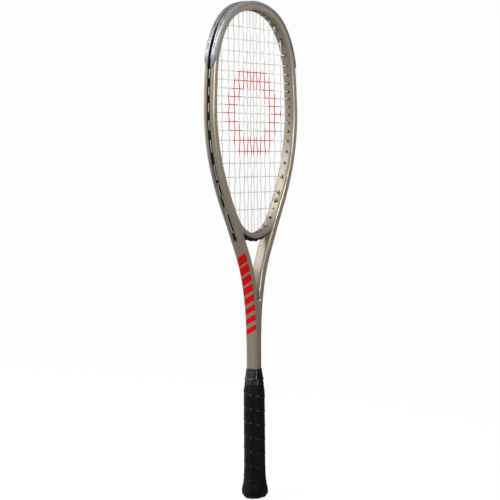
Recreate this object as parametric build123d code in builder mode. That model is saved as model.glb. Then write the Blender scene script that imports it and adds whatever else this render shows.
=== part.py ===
from build123d import *
import math
import os

os.makedirs("parts", exist_ok=True)

# ---------------------------------------------------------------------------
# Squash racket.  Millimetres.  +Z runs up the racket from the butt to the tip,
# X is across the head, Y is square to the string plane.  The origin is the
# centre of the butt end.  Most shapes are drawn as (x, z) for the right half
# (+X), running clockwise from the tip, and mirrored.
# ---------------------------------------------------------------------------

# ---- frame ----------------------------------------------------------------
BEAM = 17.6                 # beam depth across the string plane
BEAM_R = 3.7                # rounding of the beam's long edges
WALL = 1.7                  # tube wall
HOLLOW_R = 1.6              # rounding of the hollow's long edges
HEAD_Z = 520.0              # pole of the head outline
TUBE_END_Z = 6.0            # lower end of the tube, inside the handle
GROOVE_W = 5.6              # string groove in the outer face
GROOVE_D = 2.6
GROOVE_END_Z = 357.7
GROOVE_END_R = 2.3          # rounding of the groove's lower ends
GUARD_T = 1.8               # how far the bumper stands proud of the frame

# head outline with the bumper on, polar about (0, HEAD_Z): degrees from +Z, radius
OUTLINE = [(0, 166.0), (10, 165.1), (20, 162.4), (30, 155.2), (42, 142.4),
           (55, 126.9), (70, 112.6), (85, 106.9), (100, 105.7), (115, 108.9),
           (130, 116.2), (142, 126.6), (152, 139.2), (160, 154.5)]
SHAFT_HALF_W = 7.7
# half width of the arms and the shaft below the head: z, x
ARMS = [(353.7, 41.6), (338.4, 33.4), (324.2, 26.7), (310.0, 21.3),
        (296.0, 17.25), (282.0, 14.1), (268.0, 11.65), (254.0, 9.9),
        (240.0, 8.8), (226.0, 8.1), (210.0, SHAFT_HALF_W)]
# in-plane width of the tube against the height of its outer face: z, width
TUBE_W = [(270.0, 12.9), (300.0, 13.1), (350.0, 13.0), (400.0, 12.6),
          (445.0, 12.2), (480.0, 11.7), (520.0, 11.2), (560.0, 10.9),
          (640.0, 10.5), (690.0, 10.5)]
CROTCH_Z = 273.8            # lowest point of the throat opening
OPENING_LOW_Z = 300.0       # the opening follows the outer face down to here

# ---- string bed -----------------------------------------------------------
STRING_R = 0.6
WEAVE = 0.72                # how far each string is pushed off the plane
# x of the right-hand mains, from the middle out, and z of the crosses, from the tip down
MAINS = [3.69, 11.84, 20.84, 31.74, 43.87, 57.2, 73.85]
CROSSES = [649.48, 632.09, 616.02, 601.55, 588.83, 576.73, 565.37, 554.60,
           543.42, 532.44, 520.74, 508.78, 495.51, 480.63, 464.55, 445.52,
           424.15, 400.64]
TIE_MAIN, TIE_CROSS = 5, 16         # rows whose holes also take a tied-off end
HORN_MAIN = 4               # passes the bridge's horn; those inside it pass the bridge
HORN_AIM = (47.6, 369.9)    # point that main heads for beyond its corner
CORNER_IN = 1.6             # a string turns into its barrel this far inside the hoop
BARREL_R = 1.75             # outside of a grommet barrel
BARREL_BORE = 0.95
TIE_BARREL_R = 2.25         # a tie-off barrel takes two strings
TIE_BORE = 1.5
HOLE_PLAY = 0.08            # barrel to frame hole
BARREL_STANDS = 0.9         # barrel end inside the hoop
STRIP_T = 0.9               # grommet strip on the floor of the groove
LANE = 1.42                 # sideways lane of a string that passes another
WIDE_LANE = 1.75            # where the groove has no rails beside it
TIE_LANE = 0.7              # sideways place of each string in a tie-off barrel
STRING_LIFT = 0.72          # string centre above the strip
BOND = 0.03                 # glue gap between the mouldings and the frame
BEND_R = 1.3                # string bend at a grommet mouth
TAIL_IN = 2.6               # how far a tied-off end comes back inside the hoop
WEAVE_CLEAR = 4.0           # no weaving this close to a string's corner

# ---- bridge ---------------------------------------------------------------
BRIDGE_DEPTH = 15.8
BRIDGE_LOW_R, BRIDGE_TOP_R = 2.6, 1.4       # rounding of the long edges
BRIDGE_TIP = (50.5, 396.4)
BRIDGE_TOP = [(44.2, 387.6), (32.9, 376.9), (21.0, 370.9), (11.7, 368.4)]   # x, z
BRIDGE_TOP_Z = 367.2
BRIDGE_LOW_Z = 360.4
BRIDGE_WALL, BRIDGE_FACE_WALL = 1.7, 1.8    # at the middle, and on the faces

# ---- bumper guard ---------------------------------------------------------
GUARD_END_Z = 590.5
GUARD_TAPER_Z = 601.5
GUARD_WRAP = 2.9            # how far the guard reaches in over the faces
GUARD_FLAP = 0.85           # thickness of those flaps
GUARD_R = 3.4               # rounding of its outer long edges
GUARD_CHANNEL = 4.2         # width of the string channel between the rails
RAIL_Y = 5.0                # centre of the marks on each rail
MARK_PITCH = 16.0           # dot to dot; the slots lie half way between
MARK_START = 4.0            # first dot, from the tip along the frame
MARK_PAIRS = 8
MARK_DEPTH = 1.35           # cut, measured from MARK_OFF above the guard
MARK_OFF = 0.6
DOT_R = 0.95
SLOT_L, SLOT_W = 9.2, 1.5

# ---- handle ---------------------------------------------------------------
GRIP_X, GRIP_Y = 31.6, 24.6         # outside of the wrapped handle
GRIP_TOP = 165.5
GRIP_LOW = 3.5
PALLET_X, PALLET_Y = 27.6, 20.6     # moulded handle inside the wrap
PALLET_TOP = 163.0
PALLET_LOW = 3.0
BEVEL_X, BEVEL_Y = 0.46, 0.64       # shares of the half sizes that the bevels take
BUTT_X, BUTT_Y = 34.2, 27.4         # outside of the butt cap's flare
BUTT_TOP = 33.0
COLLAR_TOP = 180.0
COLLAR_LOW = 164.6
STAPLE_Y, STAPLE_Z = 10.65, 27.0    # crown of each butt cap staple
STAPLE_W, STAPLE_WIRE = 9.0, 0.9
STAPLE_GAP = 0.15                   # staple leg to shaft
PLUG_L = 30.0


# ---------------------------------------------------------------------------
# Small helpers
# ---------------------------------------------------------------------------
def look_up(table, value):
    """Straight-line look-up in a table sorted by its first column."""
    if value <= table[0][0]:
        return table[0][1]
    for (low, at_low), (high, at_high) in zip(table, table[1:]):
        if value <= high:
            return at_low + (at_high - at_low) * (value - low) / (high - low)
    return table[-1][1]


def smooth(value):
    """Ease from 0 to 1 over the range 0 to 1."""
    value = min(max(value, 0.0), 1.0)
    return value * value * (3 - 2 * value)


def guard_lift(deg):
    """Thickness of the guard over the frame at an angle from the tip."""
    return GUARD_T * (1 - smooth((deg - 45) / 35.0))


def lift_at(x, z):
    return guard_lift(math.degrees(math.atan2(x, z - HEAD_Z)))


def polar(deg, radius):
    angle = math.radians(deg)
    return (radius * math.sin(angle), HEAD_Z + radius * math.cos(angle))


def fit(points, start_dir, end_dir):
    return Edge.make_spline([Vector(*point) for point in points],
                            tangents=[Vector(*start_dir), Vector(*end_dir)])


def trace(curve, param):
    """Point and unit tangent of a curve at a parameter from 0 to 1."""
    return curve.position_at(param), curve.tangent_at(param).normalized()


def sample(curve, count):
    """(x, z, normal x, normal z) along a clockwise curve, normals outward."""
    out = []
    for i in range(count + 1):
        point, tangent = trace(curve, i / count)
        out.append((point.X, point.Y, -tangent.Y, tangent.X))
    return out


def distance(one, x, z):
    return math.hypot(x - one[0], z - one[1])


def nearest(samples, x, z):
    return min(samples, key=lambda one: distance(one, x, z))


def gap_to(samples, x, z):
    """Distance to the nearest sample, with x folded onto the right half."""
    return distance(nearest(samples, abs(x), z), abs(x), z)


def on_faces(edge, half_depth):
    """Whether an edge lies on either face of a slab centred on the string plane."""
    return abs(abs(edge.center().Y) - half_depth) < 1e-3


def finish(builder, name):
    builder.part.label = name
    export_step(builder.part, f"parts/{name}.step")


# ---------------------------------------------------------------------------
# Arc chains.  A chain is a list of stations: ((x, z), (tangent x, tangent z)).
# ---------------------------------------------------------------------------
def biarc_joint(start, start_dir, end, end_dir):
    """Joint of two arcs that leave start along start_dir and reach end along end_dir."""
    gap_x, gap_z = end[0] - start[0], end[1] - start[1]
    sum_x, sum_z = start_dir[0] + end_dir[0], start_dir[1] + end_dir[1]
    along, gap_sq = gap_x * sum_x + gap_z * sum_z, gap_x * gap_x + gap_z * gap_z
    turn = 2 * (1 - start_dir[0] * end_dir[0] - start_dir[1] * end_dir[1])
    if turn < 1e-9:
        reach = gap_sq / (2 * along)
    else:
        reach = (-along + math.sqrt(along * along + turn * gap_sq)) / turn
    return ((start[0] + reach * start_dir[0] + end[0] - reach * end_dir[0]) / 2,
            (start[1] + reach * start_dir[1] + end[1] - reach * end_dir[1]) / 2)


def draw_arc(start, start_dir, end):
    """Draw the arc that leaves start along start_dir and give its end tangent."""
    gap_x, gap_z = end[0] - start[0], end[1] - start[1]
    chord = math.hypot(gap_x, gap_z)
    sine = (start_dir[0] * gap_z - start_dir[1] * gap_x) / chord
    half = math.asin(max(-1.0, min(1.0, sine)))
    bulge = chord / 2 * math.tan(half / 2)
    if abs(half) < 2e-4:
        Line(start, end)
    else:
        ThreePointArc(start, ((start[0] + end[0]) / 2 + bulge * gap_z / chord,
                              (start[1] + end[1]) / 2 - bulge * gap_x / chord), end)
    angle = math.atan2(start_dir[1], start_dir[0]) + 2 * half
    return (math.cos(angle), math.sin(angle))


def arc_chain(chain):
    """Draw smooth arcs through a chain, for use inside a BuildLine."""
    for (start, start_dir), (end, end_dir) in zip(chain, chain[1:]):
        joint = biarc_joint(start, start_dir, end, end_dir)
        joint_dir = draw_arc(start, start_dir, joint)
        draw_arc(joint, joint_dir, end)


def stations(curve, pitch=20.0):
    """Chain along a curve, with stations about pitch apart."""
    count = max(2, round(curve.length / pitch))
    out = []
    for i in range(count + 1):
        point, tangent = trace(curve, i / count)
        out.append(((point.X, point.Y), (tangent.X, tangent.Y)))
    return out


def back(chain):
    return [(point, (-tan[0], -tan[1])) for point, tan in reversed(chain)]


def flip(chain):
    """The mirror image of a half chain, run backwards."""
    return [((-point[0], point[1]), (tan[0], -tan[1])) for point, tan in reversed(chain)]


def draw_closed(chain):
    """Loop of a half chain that ends on the axis, and its mirror image."""
    arc_chain(chain)
    arc_chain(flip(chain))


def draw_with_shaft(chain):
    """Loop of a half chain, its mirror image and the straight shaft below."""
    x, z = chain[-1][0]
    arc_chain(chain)
    Line((x, z), (x, TUBE_END_Z))
    Line((x, TUBE_END_Z), (-x, TUBE_END_Z))
    Line((-x, TUBE_END_Z), (-x, z))
    arc_chain(flip(chain))


# ---------------------------------------------------------------------------
# Master curves, right half
# ---------------------------------------------------------------------------
frame_curve = fit([polar(deg, radius - guard_lift(deg)) for deg, radius in OUTLINE]
                  + [(x, z) for z, x in ARMS], (1, 0), (0, -1))
FRAME_SAMPLES = 900
frame_fine = sample(frame_curve, FRAME_SAMPLES)
frame_length = frame_curve.length


def param_at(z):
    """Parameter of the frame outline where its outer face is at height z."""
    for i, (_, z_next, _, _) in enumerate(frame_fine):
        if z_next <= z:
            z_last = frame_fine[i - 1][1]
            return (i - 1 + (z_last - z) / (z_last - z_next)) / FRAME_SAMPLES
    return 1.0


def frame_point(param, depth):
    """(x, z) at a depth under the frame's outer face."""
    point, tangent = trace(frame_curve, param)
    return point.X + tangent.Y * depth, point.Y - tangent.X * depth


def inset(depth, z_low, z_high=None):
    """Chain of the outline moved in by a depth, or depth(z), between two heights."""
    first = 0.0 if z_high is None else param_at(z_high)
    last = param_at(z_low)
    count = max(4, round((last - first) * frame_length / 12.0))
    points = []
    for i in range(count + 1):
        param = first + (last - first) * i / count
        here = depth(frame_curve.position_at(param).Y) if callable(depth) else depth
        points.append(frame_point(param, here))
    start_dir, end_dir = trace(frame_curve, first)[1], trace(frame_curve, last)[1]
    return stations(fit(points, (start_dir.X, start_dir.Y), (end_dir.X, end_dir.Y)))


def draw_band(outer_depth, inner_depth, z_low):
    """C-shaped loop round the head between two depths, open below z_low."""
    outer, inner = inset(outer_depth, z_low), inset(inner_depth, z_low)
    (outer_x, outer_z), (inner_x, inner_z) = outer[-1][0], inner[-1][0]
    arc_chain(outer)
    Line((outer_x, outer_z), (inner_x, inner_z))
    arc_chain(back(inner))
    arc_chain(back(flip(inner)))
    Line((-inner_x, inner_z), (-outer_x, outer_z))
    arc_chain(flip(outer))


def opening_curve(grow):
    """Right half of the frame's opening, grown outwards."""
    points, last = [], None
    for x, z, out_x, out_z in frame_fine:
        if z < OPENING_LOW_Z:
            break
        if last is None or distance(last, x, z) >= 9.0:
            width = look_up(TUBE_W, z) - grow
            points.append((x - out_x * width, z - out_z * width))
            last = (x, z)
    points[0] = (0.0, points[0][1])
    tail = [(3.3 + grow * 0.97, 294.0), (1.95 + grow * 0.98, 285.0)]
    return fit(points + tail, (1, 0), (-0.10, -1))


def opening_chain(grow):
    """Chain of the opening, closed by a round crotch."""
    return stations(opening_curve(grow)) + [((0.0, CROTCH_Z - grow), (-1.0, 0.0))]


bridge_curve = fit([BRIDGE_TIP] + BRIDGE_TOP + [(0.0, BRIDGE_TOP_Z)], (-0.62, -0.80), (-1, 0))
bridge_fine = sample(bridge_curve, 300)
# inner wall of the string bed: the opening above z 402, then the bridge's top
head_fine = [one for one in sample(opening_curve(0.0), 700) if one[1] > 402.0] + bridge_fine


def bridge_low(x):
    """Height of the bridge's underside."""
    return BRIDGE_LOW_Z + 0.0087 * x * x


def outline_gap(x, z):
    """Distance of a point from the guard's outer line, either side."""
    x = abs(x)
    face_x, face_z, out_x, out_z = nearest(frame_fine, x, z)
    return abs((x - face_x) * out_x + (z - face_z) * out_z - lift_at(face_x, face_z))


# ---------------------------------------------------------------------------
# String holes
# ---------------------------------------------------------------------------
def to_floor(x, z, heading, depth):
    """Distance along a heading to a given depth under the frame's outer face."""
    near, far = 0.0, 45.0
    for _ in range(40):
        middle = (near + far) / 2
        at_x, at_z = x + heading[0] * middle, z + heading[1] * middle
        face_x, face_z, out_x, out_z = nearest(frame_fine, at_x, at_z)
        if (face_x - at_x) * out_x + (face_z - at_z) * out_z > depth:
            near = middle
        else:
            far = middle
    return (near + far) / 2


def corner(x, z, run):
    """Walk a string outwards until it is CORNER_IN from the wall."""
    near, far = 0.0, 400.0
    for _ in range(36):
        middle = (near + far) / 2
        at_x, at_z = x + run[0] * middle, z + run[1] * middle
        inside = all((at_x - one[0]) * one[2] + (at_z - one[1]) * one[3] < 0
                     for one in head_fine[::4])
        if inside and distance(nearest(head_fine, at_x, at_z), at_x, at_z) > CORNER_IN:
            near = middle
        else:
            far = middle
    return x + run[0] * near, z + run[1] * near


def lean(normal, run, most):
    """The wall's normal turned towards the string's run, by at most some degrees."""
    full = math.atan2(normal[0] * run[1] - normal[1] * run[0],
                      normal[0] * run[0] + normal[1] * run[1])
    angle = max(-math.radians(most), min(math.radians(most), full))
    cos, sin = math.cos(angle), math.sin(angle)
    return (normal[0] * cos - normal[1] * sin, normal[0] * sin + normal[1] * cos)


class Mouth:
    """A string hole on the right half: corner, heading and reach to its floor.

    With an aim, the hole heads for that point; aim_is_floor makes it end there.
    """

    def __init__(self, x, z, run, most=8.0, tie=False, aim=None, aim_is_floor=False):
        self.x, self.z = corner(x, z, run)
        self.tie = tie
        if aim:
            length = distance(aim, self.x, self.z)
            self.heading = ((aim[0] - self.x) / length, (aim[1] - self.z) / length)
        else:
            self.heading = lean(nearest(head_fine, self.x, self.z)[2:], run, most)
        if aim_is_floor:
            self.reach = length
        else:
            self.reach = to_floor(self.x, self.z, self.heading, GROOVE_D)
        self.floor_z = self.at(self.reach)[1]

    def at(self, along):
        return self.x + self.heading[0] * along, self.z + self.heading[1] * along


def low_mouth(i, x):
    if i < HORN_MAIN:              # straight down through the bridge
        return Mouth(x, HEAD_Z, (0, -1), aim=(x, bridge_low(x)), aim_is_floor=True)
    if i == HORN_MAIN:             # through the bridge's horn and down the arm
        return Mouth(x, HEAD_Z, (0, -1), aim=HORN_AIM)
    is_tie = i == TIE_MAIN
    return Mouth(x, HEAD_Z, (0, -1), most=0.0 if is_tie else 8.0, tie=is_tie)


top_mains = [Mouth(x, HEAD_Z, (0, 1), most=12.0, tie=(i == TIE_MAIN))
             for i, x in enumerate(MAINS)]
low_mains = [low_mouth(i, x) for i, x in enumerate(MAINS)]
LAST_CROSS = len(CROSSES) - 1
side_crosses = [Mouth(0, z, (1, 0), most=0.0 if i == LAST_CROSS else 8.0, tie=(i == TIE_CROSS))
                for i, z in enumerate(CROSSES)]

upper_mouths = top_mains + side_crosses
guard_mouths = [mouth for mouth in upper_mouths if mouth.floor_z > GUARD_END_Z + 1]
strip_mouths = ([mouth for mouth in side_crosses if mouth.floor_z <= GUARD_END_Z + 1]
                + low_mains[HORN_MAIN:])
bridge_mouths = low_mains[:HORN_MAIN]


def rods(mouths, sides, start, over, plain_r, tie_r, mode):
    """Cylinders on the holes' axes, from start to over beyond the floor."""
    for mouth in mouths:
        x, z = mouth.at(start)
        for side in sides:
            plane = Plane(origin=(side * x, 0, z), x_dir=(0, 1, 0),
                          z_dir=(side * mouth.heading[0], 0, mouth.heading[1]))
            with Locations(plane):
                Cylinder(tie_r if mouth.tie else plain_r, mouth.reach - start + over,
                         align=(Align.CENTER, Align.CENTER, Align.MIN), mode=mode)


def barrels(mouths, sides):
    """Grommet barrels from just inside the hoop to the strip's base."""
    rods(mouths, sides, CORNER_IN - BARREL_STANDS, 0.3, BARREL_R, TIE_BARREL_R, Mode.ADD)


def bores(mouths, sides, beyond=6.0):
    rods(mouths, sides, -1.0, beyond, BARREL_BORE, TIE_BORE, Mode.SUBTRACT)


def frame_holes(mouths, sides=(1, -1)):
    rods(mouths, sides, -1.0, 1.4, BARREL_R + HOLE_PLAY, TIE_BARREL_R + HOLE_PLAY,
         Mode.SUBTRACT)


# ---------------------------------------------------------------------------
# Frame tube.  The blank is its outer solid, before it is hollowed and drilled.
# ---------------------------------------------------------------------------
with BuildPart() as frame_blank:
    with BuildSketch(Plane.XZ):
        with BuildLine():
            draw_with_shaft(stations(frame_curve))
        make_face()
        with BuildLine():
            draw_closed(opening_chain(0.0))
        make_face(mode=Mode.SUBTRACT)
    extrude(amount=BEAM / 2, both=True)
    rim = frame_blank.edges().filter_by(
        lambda e: on_faces(e, BEAM / 2) and e.center().Z > TUBE_END_Z + 0.01)
    fillet(rim, radius=BEAM_R)


def hollow_depth(z):
    """Depth of the hollow under the outer face: more in the head than in the arms."""
    return 1.8 + 2.7 * smooth((z - 326.0) / 28.0)


# One continuous space from the butt end round the head.
hollow_chain = inset(hollow_depth, 210.5)
hollow_half_w = hollow_chain[-1][0][0]
with BuildPart() as hollow:
    with BuildSketch(Plane.XZ):
        with BuildLine():
            draw_with_shaft(hollow_chain)
        make_face()
        with BuildLine():
            draw_closed(opening_chain(WALL))
        make_face(mode=Mode.SUBTRACT)
    extrude(amount=BEAM / 2 - WALL, both=True)
    rim = hollow.edges().filter_by(
        lambda e: on_faces(e, BEAM / 2 - WALL) and e.center().Z > TUBE_END_Z + 0.01)
    fillet(rim, radius=HOLLOW_R)

with BuildPart() as groove:
    with BuildSketch(Plane.XZ):
        with BuildLine():
            draw_band(-3.0, GROOVE_D, GROOVE_END_Z)
        make_face()
    extrude(amount=GROOVE_W / 2, both=True)
    ends = groove.edges().filter_by(
        lambda e: e.length < 6.5 and on_faces(e, GROOVE_W / 2)
        and e.center().Z < GROOVE_END_Z + 4)
    fillet(ends, radius=GROOVE_END_R)

with BuildPart() as frame_tube:
    add(frame_blank.part)
    add(hollow.part, mode=Mode.SUBTRACT)
    add(groove.part, mode=Mode.SUBTRACT)
    frame_holes(guard_mouths + strip_mouths)
finish(frame_tube, "frame_tube")

# ---------------------------------------------------------------------------
# Throat bridge: a hollow cross piece bonded between the arms, foam filled.
# ---------------------------------------------------------------------------
bridge_chain = stations(bridge_curve, 9.0)
underside = [(x, bridge_low(x)) for x in (34.0, 26.0, 13.0, 0.0)]
low_chain = stations(fit(underside, (-0.86, -0.51), (-1, 0)), 12.0)
tip_x, tip_z = bridge_chain[0][0]
root_x, root_z = low_chain[0][0]
# right end, from the underside out into the arm and up to the tip
bridge_end = [(root_x, root_z), (root_x + 9, root_z - 1), (tip_x + 4, tip_z - 3), (tip_x, tip_z)]

with BuildPart() as bridge_blank:
    with BuildSketch(Plane.XZ):
        with BuildLine():
            draw_closed(bridge_chain)
            Polyline(*[(-x, z) for x, z in reversed(bridge_end)])
            arc_chain(back(flip(low_chain)))
            arc_chain(back(low_chain))
            Polyline(*bridge_end)
        make_face()
    extrude(amount=BRIDGE_DEPTH / 2, both=True)
    rim = bridge_blank.edges().filter_by(
        lambda e: on_faces(e, BRIDGE_DEPTH / 2) and abs(e.center().X) < 34.0
        and e.center().Z < 374.0 and e.center().Z < bridge_low(e.center().X) + 1.0)
    fillet(rim, radius=BRIDGE_LOW_R)
    rim = bridge_blank.edges().filter_by(
        lambda e: on_faces(e, BRIDGE_DEPTH / 2) and abs(e.center().X) < 50.4
        and e.center().Z > bridge_low(e.center().X) + 2.0 and e.length < 14.0
        and gap_to(bridge_fine, e.center().X, e.center().Z) < 0.6)
    fillet(rim, radius=BRIDGE_TOP_R)
    add(frame_blank.part, mode=Mode.SUBTRACT)

# right half of the foam core's section: x, z
CORE_TOP = [(24.0, 370.9), (16.0, 367.9), (8.0, 366.0), (0.0, BRIDGE_TOP_Z - BRIDGE_WALL)]
CORE_LOW = [(24.0, bridge_low(24.0) + 1.9), (12.0, bridge_low(12.0) + 1.8),
            (0.0, BRIDGE_LOW_Z + BRIDGE_WALL)]
with BuildPart() as core_blank:
    with BuildSketch(Plane.XZ):
        with BuildLine():
            roof = Spline(*CORE_TOP, *[(-x, z) for x, z in reversed(CORE_TOP[:-1])])
            Line(roof @ 1, (-CORE_LOW[0][0], CORE_LOW[0][1]))
            base = Spline(*[(-x, z) for x, z in CORE_LOW], *reversed(CORE_LOW[:-1]))
            Line(base @ 1, roof @ 0)
        make_face()
    extrude(amount=BRIDGE_DEPTH / 2 - BRIDGE_FACE_WALL, both=True)

with BuildPart() as throat_bridge:
    add(bridge_blank.part)
    add(core_blank.part, mode=Mode.SUBTRACT)
    frame_holes(bridge_mouths + [low_mains[HORN_MAIN]])
finish(throat_bridge, "throat_bridge")

with BuildPart() as bridge_core:
    add(core_blank.part)
    frame_holes(bridge_mouths)
finish(bridge_core, "bridge_foam_core")

# ---------------------------------------------------------------------------
# Grommet strips in the groove, below the guard.
# ---------------------------------------------------------------------------
STRIP_HALF = GROOVE_W / 2 - 0.05
STRIP_END_R = 2.2
STRIP_TOP = GROOVE_D - STRIP_T          # depths under the frame's outer face
STRIP_BASE = GROOVE_D - BOND
STRIP_LOW_Z, STRIP_HIGH_Z = GROOVE_END_Z + 1.2, GUARD_END_Z - 0.3

with BuildPart() as right_strip:
    with BuildSketch(Plane.XZ):
        with BuildLine():
            top_chain = inset(STRIP_TOP, STRIP_LOW_Z, STRIP_HIGH_Z)
            base_chain = inset(STRIP_BASE, STRIP_LOW_Z, STRIP_HIGH_Z)
            arc_chain(top_chain)
            Line(top_chain[-1][0], base_chain[-1][0])
            arc_chain(back(base_chain))
            Line(base_chain[0][0], top_chain[0][0])
        make_face()
    extrude(amount=STRIP_HALF, both=True)
    ends = right_strip.edges().filter_by(
        lambda e: e.length < 1.6 and on_faces(e, STRIP_HALF)
        and e.center().Z < GROOVE_END_Z + 5)
    fillet(ends, radius=STRIP_END_R)
    barrels(strip_mouths, (1,))
    bores(strip_mouths, (1,))
finish(right_strip, "grommet_strip_right")

with BuildPart() as left_strip:
    add(mirror(right_strip.part, about=Plane.YZ, mode=Mode.PRIVATE))
finish(left_strip, "grommet_strip_left")

# ---------------------------------------------------------------------------
# Strip under the bridge: a channel for the string loops with wavy lips.
# ---------------------------------------------------------------------------
THROAT_HALF_X = 33.0
THROAT_HALF_Y = 4.6
THROAT_CHANNEL_HALF = 2.3
THROAT_BASE_T = 1.0
LIP_PITCH = 16.5            # wave length of the lips


def lip_z(x):
    """Height of the lips' edge, which fades towards the strip's ends."""
    fade = smooth((THROAT_HALF_X - abs(x)) / 9.0)
    return bridge_low(x) - 1.15 - fade * (2.1 + 0.75 * math.cos(2 * math.pi * x / LIP_PITCH))


under = [(x, bridge_low(x) - 2 * BOND) for x in (-THROAT_HALF_X, -22, -11, 0, 11, 22, THROAT_HALF_X)]
lip_xs = [-THROAT_HALF_X + i * THROAT_HALF_X / 12 for i in range(25)]
lip = [(x, lip_z(x)) for x in lip_xs]
with BuildPart() as throat_strip:
    with BuildSketch(Plane.XZ):
        with BuildLine():
            top_line = Spline(*under)
            Line(top_line @ 1, lip[-1])
            lip_line = Spline(*reversed(lip))
            Line(lip_line @ 1, top_line @ 0)
        make_face()
    extrude(amount=THROAT_HALF_Y, both=True)
    with BuildSketch(Plane.XZ):
        with BuildLine():
            channel_top = Spline(*[(x, z - THROAT_BASE_T) for x, z in under])
            Polyline(channel_top @ 1, (THROAT_HALF_X + 6, 340), (-THROAT_HALF_X - 6, 340),
                     channel_top @ 0)
        make_face()
    extrude(amount=THROAT_CHANNEL_HALF, both=True, mode=Mode.SUBTRACT)
    add(frame_blank.part, mode=Mode.SUBTRACT)
    barrels(bridge_mouths, (1, -1))
    bores(bridge_mouths, (1, -1), 1.6)
finish(throat_strip, "throat_grommet_strip")


# ---------------------------------------------------------------------------
# Bumper guard: a C-shaped shell round the outer edge, two rails and a channel.
# ---------------------------------------------------------------------------
def proud_depth(z):
    """Depth of the guard's outer line, negative, where the frame's face is at z."""
    x = next(one[0] for one in frame_fine if one[1] <= z) if z < frame_fine[0][1] else 0.0
    return -lift_at(x, z)


# the frame's own shape, with the glue gap, to be cut from the guard
with BuildPart() as frame_room:
    with BuildSketch(Plane.XZ):
        with BuildLine():
            draw_band(-BOND, GUARD_WRAP + 3.0, GUARD_END_Z - 8)
        make_face()
    extrude(amount=BEAM / 2 + BOND, both=True)
    rim = frame_room.edges().filter_by(
        lambda e: on_faces(e, BEAM / 2 + BOND) and e.length > 4.0
        and gap_to(frame_fine, e.center().X, e.center().Z) < 0.5)
    fillet(rim, radius=BEAM_R)

with BuildPart() as guard_shell:
    with BuildSketch(Plane.XZ):
        with BuildLine():
            draw_band(proud_depth, GUARD_WRAP, GUARD_END_Z)
        make_face()
    extrude(amount=BEAM / 2 + GUARD_FLAP, both=True)
    rim = guard_shell.edges().filter_by(
        lambda e: on_faces(e, BEAM / 2 + GUARD_FLAP) and e.length > 5.0
        and outline_gap(e.center().X, e.center().Z) < 0.3)
    fillet(rim, radius=GUARD_R)
    add(frame_room.part, mode=Mode.SUBTRACT)
    # lower ends taper in to the width of the groove
    with BuildSketch(Plane.YZ):
        for k in (1, -1):
            with BuildLine():
                Polyline((k * STRIP_HALF, GUARD_END_Z - 8), (k * STRIP_HALF, GUARD_END_Z + 1.0),
                         (k * 5.0, GUARD_END_Z + 3.5), (k * 9.0, GUARD_TAPER_Z),
                         (k * 14.0, GUARD_TAPER_Z + 1.5), (k * 14.0, GUARD_END_Z - 8), close=True)
            make_face()
    extrude(amount=120, both=True, mode=Mode.SUBTRACT)


def guard_marks():
    """(is a dot, x, z, tangent) of the right-hand marks: dot and slot by turns."""
    marks = []
    for i in range(2 * MARK_PAIRS):
        is_dot = i % 2 == 0
        param = (MARK_START + i * MARK_PITCH / 2) / frame_length
        point, tangent = trace(frame_curve, param)
        if point.Y >= GUARD_TAPER_Z + (1.0 if is_dot else 7.0):
            x, z = frame_point(param, -lift_at(point.X, point.Y) - MARK_OFF)
            marks.append((is_dot, x, z, tangent))
    return marks


with BuildPart() as bumper_guard:
    add(guard_shell.part)
    # tongue that fills the groove
    with BuildSketch(Plane.XZ):
        with BuildLine():
            draw_band(-0.4, STRIP_BASE, GUARD_END_Z)
        make_face()
    extrude(amount=STRIP_HALF, both=True)
    # string channel between the rails
    with BuildSketch(Plane.XZ):
        with BuildLine():
            draw_band(-4.0, STRIP_TOP, GUARD_END_Z - 2.0)
        make_face()
    extrude(amount=GUARD_CHANNEL / 2, both=True, mode=Mode.SUBTRACT)
    barrels(guard_mouths, (1, -1))
    bores(guard_mouths, (1, -1))
    # room for the side strips' topmost barrels
    frame_holes([mouth for mouth in strip_mouths if mouth.floor_z > GUARD_END_Z - 4])
    for is_dot, x, z, tangent in guard_marks():
        for side in (1, -1):
            for y in (RAIL_Y, -RAIL_Y):
                mark_plane = Plane(origin=(side * x, y, z), x_dir=(side * tangent.X, 0, tangent.Y),
                                   z_dir=(side * -tangent.Y, 0, tangent.X))
                with BuildSketch(mark_plane):
                    if is_dot:
                        Circle(DOT_R)
                    else:
                        SlotOverall(SLOT_L, SLOT_W)
                extrude(amount=-MARK_DEPTH, mode=Mode.SUBTRACT)
finish(bumper_guard, "bumper_guard")

# ---------------------------------------------------------------------------
# Strings.  Each is one continuous length: straight runs that bend a little at
# every crossing, and loops that lie in the groove between two grommets.  A
# string keeps to tie_y, one side of the plane, in the tie-off barrels.
# ---------------------------------------------------------------------------
LOOP_DEPTH = STRIP_TOP - STRING_LIFT
LOOP_PITCH = 6.6            # way points along a loop
MIN_STEP = 0.6              # way points closer than this are merged
MIN_BEND = math.radians(0.6)        # flatter corners get no arc
SLIGHT_BEND = math.radians(25)      # flatter corners get at least MIN_TRIM
MIN_TRIM = 0.5
TRIM_SHARE = 0.46           # most of a leg that one bend may use


def y_in(mouth, tie_y):
    return tie_y if mouth.tie else 0.0


def loop_end(mouth):
    """Outline parameter and (x, z) where a hole's axis meets the loop's depth."""
    spot = mouth.at(to_floor(mouth.x, mouth.z, mouth.heading, LOOP_DEPTH))
    return frame_fine.index(nearest(frame_fine, *spot)) / FRAME_SAMPLES, spot


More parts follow.
